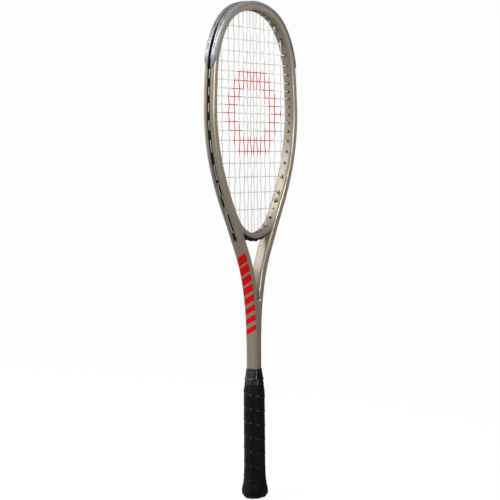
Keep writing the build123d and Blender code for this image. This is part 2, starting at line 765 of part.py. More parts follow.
def groove_loop(start, start_side, end, end_side, tie_y, lane):
    """Way points from one hole's mouth along the groove to the next hole."""
    first, (start_x, start_z) = loop_end(start)
    last, (end_x, end_z) = loop_end(end)
    if start_side != end_side:                # over the tip
        first = -first
    points = [(start_side * start_x, y_in(start, tie_y), start_z)]
    steps = max(2, round(abs(last - first) * frame_length / LOOP_PITCH))
    for i in range(1, steps):
        param = first + (last - first) * i / steps
        side = start_side if param < 0 else end_side
        x, z = frame_point(abs(param), LOOP_DEPTH)
        points.append((side * x, lane, z))
    points.append((end_side * end_x, y_in(end, tie_y), end_z))
    return points


def bridge_loop(start, end, side):
    """Way points under the bridge between two of its holes."""
    return [(side * x, 0.0, bridge_low(x) - THROAT_BASE_T - STRING_LIFT)
            for x in (start.x, (start.x + end.x) / 2, end.x)]


def main_offset(i, side, j):
    """Y of main i at cross j; the cross passes at the opposite Y."""
    number = 6 - i if side < 0 else 7 + i
    return WEAVE if (number + j) % 2 == 0 else -WEAVE


def main_run(i, side, up, tie_y):
    """Way points of a main between its two corners, woven past every cross."""
    x = side * MAINS[i]
    low, top = low_mains[i], top_mains[i]
    points = [(x, y_in(low, tie_y), low.z)]
    for j, z in reversed(list(enumerate(CROSSES))):
        if low.z + WEAVE_CLEAR < z < top.z - WEAVE_CLEAR:
            points.append((x, main_offset(i, side, j), z))
    points.append((x, y_in(top, tie_y), top.z))
    return points if up else points[::-1]


def cross_run(j, tie_y):
    """Way points of a cross from left (-X) to right."""
    z, mouth = CROSSES[j], side_crosses[j]
    mains = list(enumerate(MAINS))
    y_end = y_in(mouth, tie_y)
    points = [(-mouth.x, y_end, z)]
    for side, i, x in [(-1, *main) for main in reversed(mains)] + [(1, *main) for main in mains]:
        if x < mouth.x - WEAVE_CLEAR and low_mains[i].z < z < top_mains[i].z:
            points.append((side * x, -main_offset(i, side, j), z))
    points.append((mouth.x, y_end, z))
    return points


def tail(mouth, side, y):
    """Way points from a tied-off end, back inside the hoop, to its corner."""
    end_x, end_z = mouth.at(-TAIL_IN)
    return [(side * end_x, y, end_z), (side * mouth.x, y, mouth.z)]


def tidy(points):
    out = [Vector(*points[0])]
    for point in points[1:]:
        spot = Vector(*point)
        if (spot - out[-1]).length > MIN_STEP:
            out.append(spot)
    return out


def string_edges(way_points):
    """Lines joined by small arcs, so that the string never kinks."""
    points = tidy(way_points)
    edges, start = [], points[0]
    for before, knee, after in zip(points, points[1:], points[2:]):
        dir_in, dir_out = (knee - before).normalized(), (after - knee).normalized()
        angle = math.acos(max(-1.0, min(1.0, dir_in.dot(dir_out))))
        if angle < MIN_BEND:
            continue
        room = TRIM_SHARE * min((knee - before).length, (after - knee).length)
        trim = min(BEND_R * math.tan(angle / 2), room)
        if angle < SLIGHT_BEND:
            trim = min(max(trim, MIN_TRIM), room)
        arc_start, arc_end = knee - dir_in * trim, knee + dir_out * trim
        radius = trim / math.tan(angle / 2)
        inward = (dir_out - dir_in).normalized()
        arc_mid = knee + inward * (radius / math.cos(angle / 2) - radius)
        edges.append(Edge.make_line(start, arc_start))
        edges.append(Edge.make_three_point_arc(arc_start, arc_mid, arc_end))
        start = arc_end
    edges.append(Edge.make_line(start, points[-1]))
    return edges


def lay_string(points):
    with BuildPart() as string:
        with BuildLine():
            for edge in string_edges(points):
                add(edge)
        first = Vector(*points[0])
        heading = (Vector(*points[1]) - first).normalized()
        with BuildSketch(Plane(origin=first, z_dir=heading)):
            Circle(STRING_R)
        sweep()
    return string


tie_side = side_crosses[TIE_CROSS]
tie_low, tie_top = low_mains[TIE_MAIN], top_mains[TIE_MAIN]


def half_mains(side):
    """Way points from the tied-off end of the outermost main to the middle."""
    points = tail(tie_side, side, TIE_LANE)
    last = tie_side
    for i in reversed(range(len(MAINS))):
        up = i % 2 == 0
        entry, leave = (low_mains[i], top_mains[i]) if up else (top_mains[i], low_mains[i])
        if up and i < HORN_MAIN:
            points += bridge_loop(last, entry, side)
        else:
            lane = LANE if i >= HORN_MAIN else 0.0
            points += groove_loop(last, side, entry, side, TIE_LANE, lane)
        points += main_run(i, side, up, TIE_LANE)
        last = leave
    return points


main_points = (half_mains(-1) + groove_loop(top_mains[0], -1, top_mains[0], 1, TIE_LANE, 0.0)
               + half_mains(1)[::-1])

CROSS_TIE = -TIE_LANE
cross_lanes = {0: -LANE, 15: -WIDE_LANE, 16: -WIDE_LANE}    # lane after a cross, if not 0
cross_points = tail(tie_top, 1, CROSS_TIE)
cross_points += groove_loop(tie_top, 1, side_crosses[0], 1, CROSS_TIE, -LANE)
for j in range(len(CROSSES)):
    run = cross_run(j, CROSS_TIE)
    cross_points += run[::-1] if j % 2 == 0 else run
    if j < LAST_CROSS:
        side = -1 if j % 2 == 0 else 1
        cross_points += groove_loop(side_crosses[j], side, side_crosses[j + 1], side,
                                    CROSS_TIE, cross_lanes.get(j, 0.0))
cross_points += groove_loop(side_crosses[LAST_CROSS], 1, tie_low, 1, CROSS_TIE, -LANE)
cross_points += tail(tie_low, 1, CROSS_TIE)[::-1]

finish(lay_string(main_points), "main_string")
finish(lay_string(cross_points), "cross_string")

# ---------------------------------------------------------------------------
# Knots: two rings round the string and a cut end, just inside the hoop.
# ---------------------------------------------------------------------------
KNOT_RINGS = (2.1, 3.25)    # distances from the corner along the string
RING_R, RING_CORD_R = 1.34, 0.58
CUT_END_R, CUT_END_L = 0.56, 4.6


def tie_knots(ties):
    """Knots from (mouth, side, y of the tail, direction of the string inwards)."""
    with BuildPart() as knots:
        for mouth, side, y_tail, (run_x, run_z) in ties:
            corner_x = side * mouth.x
            for along in KNOT_RINGS:
                ring = Plane(origin=(corner_x + run_x * along, -y_tail * 0.55,
                                     mouth.z + run_z * along), z_dir=(run_x, 0, run_z))
                with Locations(ring):
                    Torus(RING_R, RING_CORD_R)
            foot = Vector(corner_x + run_x * KNOT_RINGS[0], y_tail * 1.15,
                          mouth.z + run_z * KNOT_RINGS[0])
            # the cut end slants away from the wall and out of the string plane
            slant = Vector(run_x * 0.55 - side * mouth.heading[0] * 0.8,
                           1.1 * math.copysign(1, y_tail),
                           run_z * 0.55 - mouth.heading[1] * 0.8)
            with Locations(Plane(origin=foot, z_dir=slant.normalized())):
                Cylinder(CUT_END_R, CUT_END_L, align=(Align.CENTER, Align.CENTER, Align.MIN))
    return knots


main_knots = tie_knots([(tie_side, side, TIE_LANE, (-side, 0.0)) for side in (1, -1)])
cross_knots = tie_knots([(tie_top, 1, CROSS_TIE, (0.0, -1.0)),
                         (tie_low, 1, CROSS_TIE, (0.0, 1.0))])
finish(main_knots, "main_string_knots")
finish(cross_knots, "cross_string_knots")


# ---------------------------------------------------------------------------
# Handle
# ---------------------------------------------------------------------------
def octagon(size_x, size_y):
    """Bevelled handle section."""
    x, y = size_x / 2, size_y / 2
    flat_x, flat_y = x * (1 - BEVEL_X), y * (1 - BEVEL_Y)
    Polygon((flat_x, -y), (x, -flat_y), (x, flat_y), (flat_x, y),
            (-flat_x, y), (-x, flat_y), (-x, -flat_y), (-flat_x, -y), align=None)


def tower(sections, outline=octagon):
    """Loft through flat sections: (z, x size, y size, ...)."""
    faces = []
    for z, *sizes in sections:
        with BuildSketch(Plane.XY.offset(z)) as level:
            outline(*sizes)
        faces.append(level.sketch.faces()[0])
    loft(sections=faces, ruled=True)


# sections: z, x size, y size
PALLET = [(PALLET_LOW, PALLET_X, PALLET_Y), (148.0, PALLET_X - 0.4, PALLET_Y - 0.2),
          (PALLET_TOP, 21.4, 19.2)]
CAP = [(0.0, BUTT_X - 4.6, BUTT_Y - 4.6), (1.6, BUTT_X - 1.7, BUTT_Y - 1.7),
       (4.0, BUTT_X - 0.5, BUTT_Y - 0.5), (9.0, BUTT_X, BUTT_Y),
       (13.0, BUTT_X - 0.7, BUTT_Y - 0.7), (19.0, 31.2, 24.2),
       (25.0, 29.7, 22.7), (BUTT_TOP, 29.2, 22.2)]
WRAP = [(GRIP_LOW, BUTT_X + 2.4, BUTT_Y + 2.4), (6.0, BUTT_X + 3.4, BUTT_Y + 3.4),
        (10.0, BUTT_X + 3.8, BUTT_Y + 3.7), (14.0, BUTT_X + 2.9, BUTT_Y + 2.9),
        (20.0, 34.6, 27.6), (26.0, 33.1, 26.1), (34.0, 32.3, 25.3),
        (46.0, GRIP_X, GRIP_Y), (148.0, GRIP_X - 0.4, GRIP_Y - 0.2), (156.0, 28.0, 23.2),
        (163.0, 24.9, 22.0), (GRIP_TOP, 23.2, 21.2)]
TAPE = [(158.0, 27.7, 23.4), (163.0, 25.4, 22.4), (GRIP_TOP + 1.0, 23.0, 21.5)]
# z, x size, y size, corner radius
COLLAR = [(COLLAR_LOW, 24.9, 22.5, 7.4), (165.4, 24.9, 22.5, 7.4), (166.8, 23.4, 21.8, 6.9),
          (169.0, 21.9, 21.2, 6.4), (171.5, 20.6, 20.6, 6.0), (172.4, 19.9, 20.3, 5.8),
          (173.2, 20.1, 20.4, 5.8), (175.2, 18.9, 19.8, 5.4), (176.0, 18.1, 19.4, 5.1),
          (176.8, 18.3, 19.5, 5.1), (178.6, 17.4, 19.0, 4.7), (COLLAR_TOP, 16.7, 18.7, 4.3)]

# the shaft's space through the handle pieces, past both their ends
SHAFT_ROOM_LOW = PALLET_LOW - 1
with BuildPart() as shaft_room:
    with BuildSketch(Plane.XY.offset(SHAFT_ROOM_LOW)):
        RectangleRounded(2 * SHAFT_HALF_W, BEAM, BEAM_R)
    extrude(amount=COLLAR_TOP + 10 - SHAFT_ROOM_LOW)

with BuildPart() as pallet_solid:
    tower(PALLET)
with BuildPart() as cap_blank:
    tower(CAP)

leg_foot_y = BEAM / 2 + STAPLE_GAP
leg_x = (STAPLE_W - STAPLE_WIRE) / 2
with BuildPart() as staples:
    for y in (1, -1):
        with Locations((0, y * STAPLE_Y, STAPLE_Z)):
            Box(STAPLE_W, STAPLE_WIRE, STAPLE_WIRE)
        for x in (-leg_x, leg_x):
            with Locations((x, y * (STAPLE_Y + leg_foot_y) / 2, STAPLE_Z)):
                Box(STAPLE_WIRE, STAPLE_Y - leg_foot_y, STAPLE_WIRE)
finish(staples, "butt_cap_staples")

with BuildPart() as pallet_blank:
    add(pallet_solid.part)
    add(shaft_room.part, mode=Mode.SUBTRACT)
    add(staples.part, mode=Mode.SUBTRACT)

for side_name, kept in (("right", Keep.TOP), ("left", Keep.BOTTOM)):
    with BuildPart() as pallet_half:
        add(pallet_blank.part)
        split(bisect_by=Plane.YZ, keep=kept)
    finish(pallet_half, f"handle_pallet_{side_name}")

with BuildPart() as butt_cap:
    add(cap_blank.part)
    add(pallet_solid.part, mode=Mode.SUBTRACT)
    add(staples.part, mode=Mode.SUBTRACT)
finish(butt_cap, "butt_cap")

with BuildPart() as shaft_plug:
    with BuildSketch(Plane.XY.offset(TUBE_END_Z)):
        RectangleRounded(2 * hollow_half_w, BEAM - 2 * WALL, HOLLOW_R)
    extrude(amount=PLUG_L)
finish(shaft_plug, "shaft_end_plug")

with BuildPart() as grip_wrap:
    tower(WRAP)
    add(cap_blank.part, mode=Mode.SUBTRACT)
    add(pallet_solid.part, mode=Mode.SUBTRACT)
    add(shaft_room.part, mode=Mode.SUBTRACT)
finish(grip_wrap, "grip_wrap")

# finishing tape, wound over the top turn of the wrap
with BuildPart() as tape:
    tower(TAPE)
    add(grip_wrap.part, mode=Mode.SUBTRACT)
    add(pallet_solid.part, mode=Mode.SUBTRACT)
    add(shaft_room.part, mode=Mode.SUBTRACT)
finish(tape, "finishing_tape")

# rubber collar: a stepped sleeve over the shaft and the end of the tape
with BuildPart() as collar:
    tower(COLLAR, RectangleRounded)
    add(shaft_room.part, mode=Mode.SUBTRACT)
    add(tape.part, mode=Mode.SUBTRACT)
    add(grip_wrap.part, mode=Mode.SUBTRACT)
    add(pallet_solid.part, mode=Mode.SUBTRACT)
finish(collar, "rubber_collar")
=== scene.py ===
"""A strung racket standing on its butt cap.

Z runs up from the butt to the top of the head, X across the face and Y through the strings.
Materials, floor and lights are in metres; the handle covering is worked out in millimetres.
"""
import math

import bpy
import numpy as np
from mathutils import Matrix, Vector

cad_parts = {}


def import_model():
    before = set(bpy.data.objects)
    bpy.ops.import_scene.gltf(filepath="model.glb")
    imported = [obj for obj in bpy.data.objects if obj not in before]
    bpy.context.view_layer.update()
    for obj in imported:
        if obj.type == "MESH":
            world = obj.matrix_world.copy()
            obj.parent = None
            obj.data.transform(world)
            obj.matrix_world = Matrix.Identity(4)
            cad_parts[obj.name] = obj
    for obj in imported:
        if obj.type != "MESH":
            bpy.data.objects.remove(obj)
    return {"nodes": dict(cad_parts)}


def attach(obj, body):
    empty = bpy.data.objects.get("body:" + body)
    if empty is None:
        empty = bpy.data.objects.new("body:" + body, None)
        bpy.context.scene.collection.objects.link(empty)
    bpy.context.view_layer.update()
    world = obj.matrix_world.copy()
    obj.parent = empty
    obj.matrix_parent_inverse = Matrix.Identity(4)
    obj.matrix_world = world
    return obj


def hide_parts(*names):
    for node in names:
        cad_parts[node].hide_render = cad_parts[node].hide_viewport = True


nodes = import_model()["nodes"]
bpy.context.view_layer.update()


def add_object(name, data):
    """Link a new object into the scene."""
    obj = bpy.data.objects.new(name, data)
    bpy.context.scene.collection.objects.link(obj)
    return obj


# --- Shader helpers ---
def operation(kind, swapped=False):
    """Make an operator method that adds a math node."""
    def method(self, other):
        pair = (other, self) if swapped else (self, other)
        return self.shader.math(kind, *pair)
    return method


class Value:
    """A shader output that takes part in arithmetic; each operator adds a math node."""

    def __init__(self, shader, socket):
        self.shader = shader
        self.socket = socket

    __add__ = operation("ADD")
    __radd__ = operation("ADD", swapped=True)
    __sub__ = operation("SUBTRACT")
    __rsub__ = operation("SUBTRACT", swapped=True)
    __mul__ = operation("MULTIPLY")
    __truediv__ = operation("DIVIDE")
    __gt__ = operation("GREATER_THAN")
    __lt__ = operation("LESS_THAN")


class Shader:
    """The node tree of a material or world, with short ways to wire it."""

    INPUTS = {"color": "Base Color", "metal": "Metallic", "rough": "Roughness",
              "coat": "Coat Weight", "coat_rough": "Coat Roughness",
              "spec": "Specular IOR Level", "sheen": "Sheen Weight",
              "sheen_rough": "Sheen Roughness"}

    def __init__(self, owner, surface="Principled BSDF", coordinates="Object"):
        owner.use_nodes = True
        self.owner = owner
        self.nodes = owner.node_tree.nodes
        self.surface = self.nodes[surface]
        self.place = self.add("TexCoord", output=coordinates)
        self.relief = None

    def put(self, socket, value):
        """Link a Value to an input, or set the input to a constant."""
        if isinstance(value, Value):
            self.owner.node_tree.links.new(value.socket, socket)
        elif socket.type == "RGBA":
            socket.default_value = (*value, 1.0)
        else:
            socket.default_value = value

    def add(self, kind, inputs=None, output=0, **settings):
        """Add a node and return one of its outputs."""
        node = self.nodes.new("ShaderNode" + kind)
        for name, value in settings.items():
            setattr(node, name, value)
        for key, value in (inputs or {}).items():
            self.put(node.inputs[key], value)
        return Value(self, node.outputs[output])

    def noise(self, scale, detail=3.0, rough=0.5, stretch=None, seed=0.0):
        place = self.place
        if stretch:
            place = self.add("VectorMath", {0: place, 1: stretch}, operation="MULTIPLY")
        inputs = {"Vector": place, "W": seed, "Scale": scale, "Detail": detail,
                  "Roughness": rough}
        return self.add("TexNoise", inputs, "Fac", noise_dimensions="4D")

    def cells(self, scale, feature="F1"):
        inputs = {"Scale": scale, "Vector": self.place}
        return self.add("TexVoronoi", inputs, "Distance", feature=feature)

    def math(self, kind, *values):
        return self.add("Math", dict(enumerate(values)), operation=kind)

    def ramp(self, value, over, to=(0.0, 1.0), smooth=True):
        """Map the range `over` to the range `to`, clamped at both ends."""
        inputs = {"Value": value, "From Min": over[0], "From Max": over[1],
                  "To Min": to[0], "To Max": to[1]}
        interpolation = "SMOOTHSTEP" if smooth else "LINEAR"
        return self.add("MapRange", inputs, "Result", interpolation_type=interpolation)

    def mix(self, amount, first, second):
        return self.add("Mix", {0: amount, 6: first, 7: second}, 2, data_type="RGBA")

    def split(self, vector):
        """The x, y and z of a vector."""
        node = self.add("SeparateXYZ", {0: vector}).socket.node
        return [Value(self, socket) for socket in node.outputs]

    def cavity(self, distance):
        """Ambient occlusion: 0 in crevices, 1 in the open."""
        return self.add("AmbientOcclusion", {"Distance": distance}, "AO", samples=6)

    def attribute(self, name):
        return self.add("Attribute", output="Fac", attribute_name=name)

    def bump(self, height, distance, strength):
        """Add a bump on top of those before it."""
        inputs = {"Height": height, "Distance": distance, "Strength": strength}
        if self.relief is not None:
            inputs["Normal"] = self.relief
        self.relief = self.add("Bump", inputs)
        self.put(self.surface.inputs["Normal"], self.relief)

    def set(self, **values):
        for name, value in values.items():
            self.put(self.surface.inputs[self.INPUTS[name]], value)


def new_material(name):
    return Shader(bpy.data.materials.new(name))


def rgb(*channels):
    """sRGB 0-255 to linear."""
    def linear(c):
        return c / 12.92 if c <= 0.04045 else ((c + 0.055) / 1.055) ** 2.4
    return tuple(linear(c / 255) for c in channels)


# --- Materials ---
# slanted red bars on the frame; heights are of a bar's line where it crosses y = 0
BARS_TOP, BARS_BOTTOM = 0.3370, 0.2240
BAR_PITCH = 0.0142
BAR_SLANT = 0.55

# hollow hexagon printed on the strings, flat at top and bottom
HEXAGON_X, HEXAGON_Z = 0.001, 0.5335
HEXAGON_SIDE = (0.757, 0.5)          # x and z parts of the slanted sides' normal
HEXAGON_OUTER = (0.0575, 0.0562)     # soft edges, as distances from the centre
HEXAGON_INNER = (0.0322, 0.0336)

# outer edge of the hoop: radius = HOOP_RADIUS + HOOP_RISE * cos(angle from +Z)
HOOP_Z = 0.520
HOOP_RADIUS, HOOP_RISE = 0.0732, 0.0910


def frame_paint(name, bars):
    """Flecked warm grey paint, with optional red bars on the -X side."""
    mat = new_material(name)
    fleck = mat.noise(scale=5200, detail=2, rough=0.6)
    mottle = mat.noise(scale=38, detail=4, rough=0.55, seed=1.7)
    color = mat.mix(mat.ramp(fleck, over=(0.38, 0.64)), rgb(122, 112, 98), rgb(158, 147, 131))
    blotch = mat.ramp(mottle, over=(0.3, 0.7), to=(0, 0.16))
    color = mat.mix(blotch, color, rgb(112, 103, 92))
    glint = mat.ramp(mat.noise(scale=9000, detail=1, seed=4.2), over=(0.70, 0.76))
    color = mat.mix(glint * 0.5, color, rgb(206, 200, 188))
    metal, coat, spec = 0.38, 0.42, 0.5
    if bars:
        x, y, z = mat.split(mat.place)
        normal_x = mat.split(mat.add("NewGeometry", output="Normal"))[0]
        # the bars thin out towards the shaft
        height = z + y * BAR_SLANT
        part = mat.math("FRACT", (BARS_TOP - height) / BAR_PITCH)
        duty = mat.ramp(height, over=(BARS_BOTTOM, BARS_TOP), to=(0.50, 0.86), smooth=False)
        bar = mat.ramp(duty - part, over=(-0.01, 0.01))
        inside = (height > BARS_BOTTOM) * (height < BARS_TOP)
        # keep to the outer wall of one arm
        side = mat.ramp(normal_x, over=(-0.30, -0.36)) * (x < 0.0)
        mask = bar * inside * side
        shade = mat.ramp(mat.noise(scale=1400, rough=0.6), over=(0.2, 0.8))
        color = mat.mix(mask, color, mat.mix(shade, rgb(204, 2, 4), rgb(190, 2, 4)))
        metal = mat.ramp(mask, over=(0, 1), to=(metal, 0.0))
        coat = mat.ramp(mask, over=(0, 1), to=(coat, 0.04))
        spec = mat.ramp(mask, over=(0, 1), to=(spec, 0.12))
    rough = mat.ramp(mat.noise(scale=700, rough=0.6, seed=2), over=(0.3, 0.7), to=(0.30, 0.40))
    mat.set(color=color, metal=metal, rough=rough, coat=coat, coat_rough=0.16, spec=spec)
    mat.bump(mat.noise(scale=1500, detail=2), distance=0.00004, strength=0.35)
    mat.bump(mottle, distance=0.0006, strength=0.08)
    return mat.owner


def strings(name):
    """Pale string with the red hexagon printed on it."""
    mat = new_material(name)
    x, _, z = mat.split(mat.place)
    jitter = (mat.noise(scale=420, detail=2) - 0.5) * 0.0022
    across = mat.math("ABSOLUTE", x - HEXAGON_X)
    along = mat.math("ABSOLUTE", z - HEXAGON_Z)
    slanted = across * HEXAGON_SIDE[0] + along * HEXAGON_SIDE[1]
    reach = mat.math("MAXIMUM", along, slanted) + jitter
    ring = mat.ramp(reach, over=HEXAGON_OUTER) * mat.ramp(reach, over=HEXAGON_INNER)
    wear = mat.ramp(mat.noise(scale=900, rough=0.6, seed=3), over=(0.2, 0.5), to=(0.88, 1))
    base = mat.mix(mat.ramp(mat.noise(scale=2600, detail=2), over=(0.3, 0.7)),
                   rgb(176, 177, 172), rgb(190, 190, 185))
    ink = mat.mix(mat.ramp(mat.noise(scale=1900, detail=2, seed=5), over=(0.3, 0.7)),
                  rgb(186, 4, 22), rgb(164, 2, 16))
    # painted shade from ambient occlusion: dark where the string runs into a barrel, faint
    # where strings cross
    painted_shade_openness = mat.ramp(mat.cavity(distance=0.0035), over=(0.10, 0.40), to=(0.10, 1))
    color = mat.mix(painted_shade_openness, rgb(20, 20, 20), mat.mix(ring * wear, base, ink))
    mat.set(color=color, rough=mat.ramp(mat.noise(scale=800), over=(0.3, 0.7), to=(0.34, 0.48)),
            spec=0.2, coat=0.05, coat_rough=0.2)
    waves = {"Scale": 2300, "Distortion": 1.0, "Vector": mat.place}
    mat.bump(mat.add("TexWave", waves, "Fac"), distance=0.00004, strength=0.4)
    mat.bump(mat.noise(scale=3000), distance=0.00003, strength=0.3)
    return mat.owner


def guard_plastic(name):
    """Grey bumper, coloured by height and by distance from the string plane, with painted shade
    in its middle groove and crevices.
    """
    mat = new_material(name)
    x, y, z = mat.split(mat.place)
    depth = mat.math("ABSOLUTE", y)
    cloud = mat.noise(scale=120, detail=4, rough=0.6)
    color = mat.mix(mat.ramp(cloud, over=(0.3, 0.7)), rgb(120, 122, 127), rgb(148, 150, 154))
    # flaps over the two faces are darker
    color = mat.mix(mat.ramp(depth, over=(0.0080, 0.0090)), color, rgb(92, 94, 98))
    # painted shade in the groove in the middle, darker downwards
    groove = mat.mix(mat.ramp(z, over=(0.618, 0.652)), rgb(22, 23, 26), rgb(126, 129, 134))
    color = mat.mix(mat.ramp(depth, over=(0.0028, 0.0022)), color, groove)
    # lower ends
    color = mat.mix(mat.ramp(z, over=(0.611, 0.603), to=(0, 0.55)), color, rgb(58, 60, 65))
    # painted shade in crevices, from ambient occlusion, fainter towards the top
    painted_crevice_shade = mat.ramp(mat.cavity(distance=0.0022), over=(0.42, 0.86), to=(1, 0))
    painted_crevice_shade = painted_crevice_shade * mat.ramp(z, over=(0.622, 0.665), to=(1, 0.62))
    color = mat.mix(painted_crevice_shade, color, rgb(9, 9, 11))
    # barrels, well inside the outer edge of the hoop, are near black
    rise = z - HOOP_Z
    reach = mat.math("SQRT", x * x + rise * rise)
    edge = HOOP_RADIUS + rise / reach * HOOP_RISE
    inner = mat.ramp(edge - reach, over=(0.0045, 0.0060))
    inner = inner * mat.ramp(depth, over=(0.0050, 0.0040))
    color = mat.mix(inner, color, rgb(5, 5, 6))
    # pale scuffs near the top
    flap = mat.ramp(depth, over=(0.0080, 0.0090))
    scuff = mat.noise(scale=240, detail=5, rough=0.7, stretch=(1, 6, 1), seed=2.5)
    scuff = mat.ramp(scuff, over=(0.58, 0.72), to=(0, 0.35))
    top = scuff * mat.ramp(z, over=(0.655, 0.684))
    color = mat.mix(top, color, rgb(176, 178, 180))
    gloss = mat.noise(scale=300, detail=4, rough=0.6, seed=1)
    gloss = mat.ramp(gloss, over=(0.3, 0.7), to=(0.24, 0.34))
    dull = mat.math("MAXIMUM", flap, inner)
    mat.set(color=color, metal=mat.ramp(dull, over=(0, 1), to=(0.45, 0.05)),
            rough=gloss + flap * 0.18, coat=mat.ramp(flap, over=(0, 1), to=(0.3, 0.05)),
            coat_rough=0.08, spec=mat.ramp(inner, over=(0, 1), to=(0.5, 0.12)))
    mat.bump(mat.noise(scale=900, detail=4, rough=0.6), distance=0.00006, strength=0.4)
    mat.bump(scuff, distance=0.00012, strength=0.5)
    return mat.owner


def moulded(name, dark, light, rough, grain=1600, depth=0.00006, coat=0.0, dusty=0.25,
            spec=0.5):
    """Dark moulded plastic or rubber with a fine grain and some dust."""
    mat = new_material(name)
    cloud = mat.ramp(mat.noise(scale=160, detail=4, rough=0.6), over=(0.3, 0.7))
    dust = mat.noise(scale=520, detail=5, rough=0.7, seed=7)
    dust = mat.ramp(dust, over=(0.60, 0.78), to=(0, dusty))
    color = mat.mix(dust, mat.mix(cloud, rgb(*dark), rgb(*light)), rgb(92, 90, 88))
    gloss = mat.noise(scale=420, rough=0.6, seed=3)
    mat.set(color=color, rough=mat.ramp(gloss, over=(0.3, 0.7), to=rough), coat=coat,
            coat_rough=0.2, spec=spec)
    mat.bump(mat.cells(scale=grain), distance=depth, strength=0.35)
    mat.bump(mat.noise(scale=grain * 1.7), distance=depth, strength=0.35)
    return mat.owner


def leather(name):
    """Near-black grip: fine pores, pressed creases, painted shade in crevices, painted
    highlights and rubbed gloss along the seams, and painted glints at the corners.
    """
    mat = new_material(name)
    pores = mat.cells(scale=1500, feature="DISTANCE_TO_EDGE")
    grain = mat.noise(scale=1900, detail=4, rough=0.6)
    crease = mat.noise(scale=95, detail=5, rough=0.65, stretch=(1, 1, 2.4), seed=1.1)
    color = mat.mix(mat.ramp(crease, over=(0.32, 0.68)), rgb(8, 6, 7), rgb(15, 12, 13))
    color = mat.mix(mat.ramp(grain, over=(0.62, 0.76), to=(0, 0.4)), color, rgb(40, 38, 40))
    # painted shade in creases and seam grooves, from ambient occlusion
    painted_crevice_shade = mat.ramp(mat.cavity(distance=0.0012), over=(0.45, 0.9), to=(1, 0))
    color = mat.mix(painted_crevice_shade, color, rgb(5, 5, 6))
    # painted highlight along the seams, with rubbed gloss (lower roughness), in patches, more
    # towards the top
    z = mat.split(mat.place)[2]
    patchy = mat.noise(scale=75, detail=4, rough=0.6, seed=6)
    patchy = mat.ramp(patchy, over=(0.34, 0.66), to=(0.12, 0.95))
    patchy = patchy * mat.ramp(z, over=(0.030, 0.150), to=(0.30, 1))
    seam_rub_and_painted_highlight = mat.attribute("seam") * patchy
    color = mat.mix(seam_rub_and_painted_highlight, color, rgb(50, 48, 49))
    # painted glints where the seams cross the octagon's corners
    painted_corner_glint = mat.attribute("painted_corner_glint")
    color = mat.mix(painted_corner_glint, color, rgb(150, 150, 150))
    dull = mat.noise(scale=210, detail=4, rough=0.6, seed=2.2)
    dull = mat.ramp(dull, over=(0.3, 0.7), to=(0.42, 0.60))
    mat.set(color=color, rough=dull - seam_rub_and_painted_highlight * 0.20, sheen=0.01, sheen_rough=0.45,
            spec=0.11 + painted_corner_glint * 0.5)
    mat.bump(crease, distance=0.0010, strength=0.22)
    mat.bump(mat.ramp(pores, over=(0, 0.10)), distance=0.00009, strength=0.5)
    mat.bump(grain, distance=0.00007, strength=0.5)
    return mat.owner


def tape_vinyl(name):
    mat = new_material(name)
    ridge = mat.noise(scale=900, rough=0.6, stretch=(0.4, 0.4, 3))
    color = mat.mix(mat.ramp(ridge, over=(0.3, 0.7)), rgb(15, 15, 16), rgb(24, 24, 25))
    mat.set(color=color, rough=mat.ramp(mat.noise(scale=500), over=(0.3, 0.7), to=(0.28, 0.40)),
            coat=0.1, coat_rough=0.15, spec=0.3)
    mat.bump(ridge, distance=0.00001, strength=0.3)
    mat.bump(mat.noise(scale=120, detail=4), distance=0.0004, strength=0.12)
    return mat.owner


def steel(name):
    mat = new_material(name)
    grain = mat.noise(scale=900, rough=0.6, stretch=(1, 1, 8))
    color = mat.mix(mat.ramp(grain, over=(0.3, 0.7)), rgb(150, 152, 156), rgb(196, 198, 200))
    mat.set(color=color, metal=1.0, rough=mat.ramp(grain, over=(0.3, 0.7), to=(0.25, 0.45)))
    mat.bump(grain, distance=0.00005, strength=0.4)
    return mat.owner


def foam(name):
    mat = new_material(name)
    cells = mat.cells(scale=900)
    color = mat.mix(mat.ramp(cells, over=(0.1, 0.6)), rgb(206, 196, 168), rgb(232, 224, 200))
    mat.set(color=color, rough=0.9)
    mat.bump(cells, distance=0.0003, strength=0.6)
    return mat.owner


def paint(names, material):
    """Put one material in every slot of the named pieces."""
    for name in names:
        piece = nodes[name]
        if not piece.material_slots:
            piece.data.materials.append(material)
        for slot in piece.material_slots:
            slot.material = material


paint(["frame_tube"], frame_paint("frame_paint_bars", bars=True))
paint(["throat_bridge"], frame_paint("frame_paint_plain", bars=False))
paint(["bridge_foam_core"], foam("core_foam"))
paint(["shaft_end_plug"], foam("plug_foam"))
paint(["bumper_guard"], guard_plastic("bumper_plastic"))
paint(["grommet_strip_left", "grommet_strip_right", "throat_grommet_strip"],
      moulded("grommet_nylon", dark=(3, 3, 3), light=(6, 6, 7), rough=(0.48, 0.60),
              dusty=0.03, spec=0.15))
paint(["main_string", "cross_string", "main_string_knots", "cross_string_knots"],
      strings("string_monofilament"))
paint(["handle_pallet_left", "handle_pallet_right"],
      moulded("pallet_plastic", dark=(30, 30, 31), light=(44, 44, 45), rough=(0.5, 0.65)))
paint(["butt_cap"],
      moulded("butt_plastic", dark=(16, 16, 17), light=(26, 26, 27), rough=(0.42, 0.55),
              grain=1100, depth=0.00012))
paint(["butt_cap_staples"], steel("staple_steel"))
paint(["rubber_collar"],
      moulded("collar_rubber", dark=(6, 6, 7), light=(11, 11, 12), rough=(0.28, 0.36),
              grain=900, depth=0.000004, coat=0.15, dusty=0.02, spec=0.3))


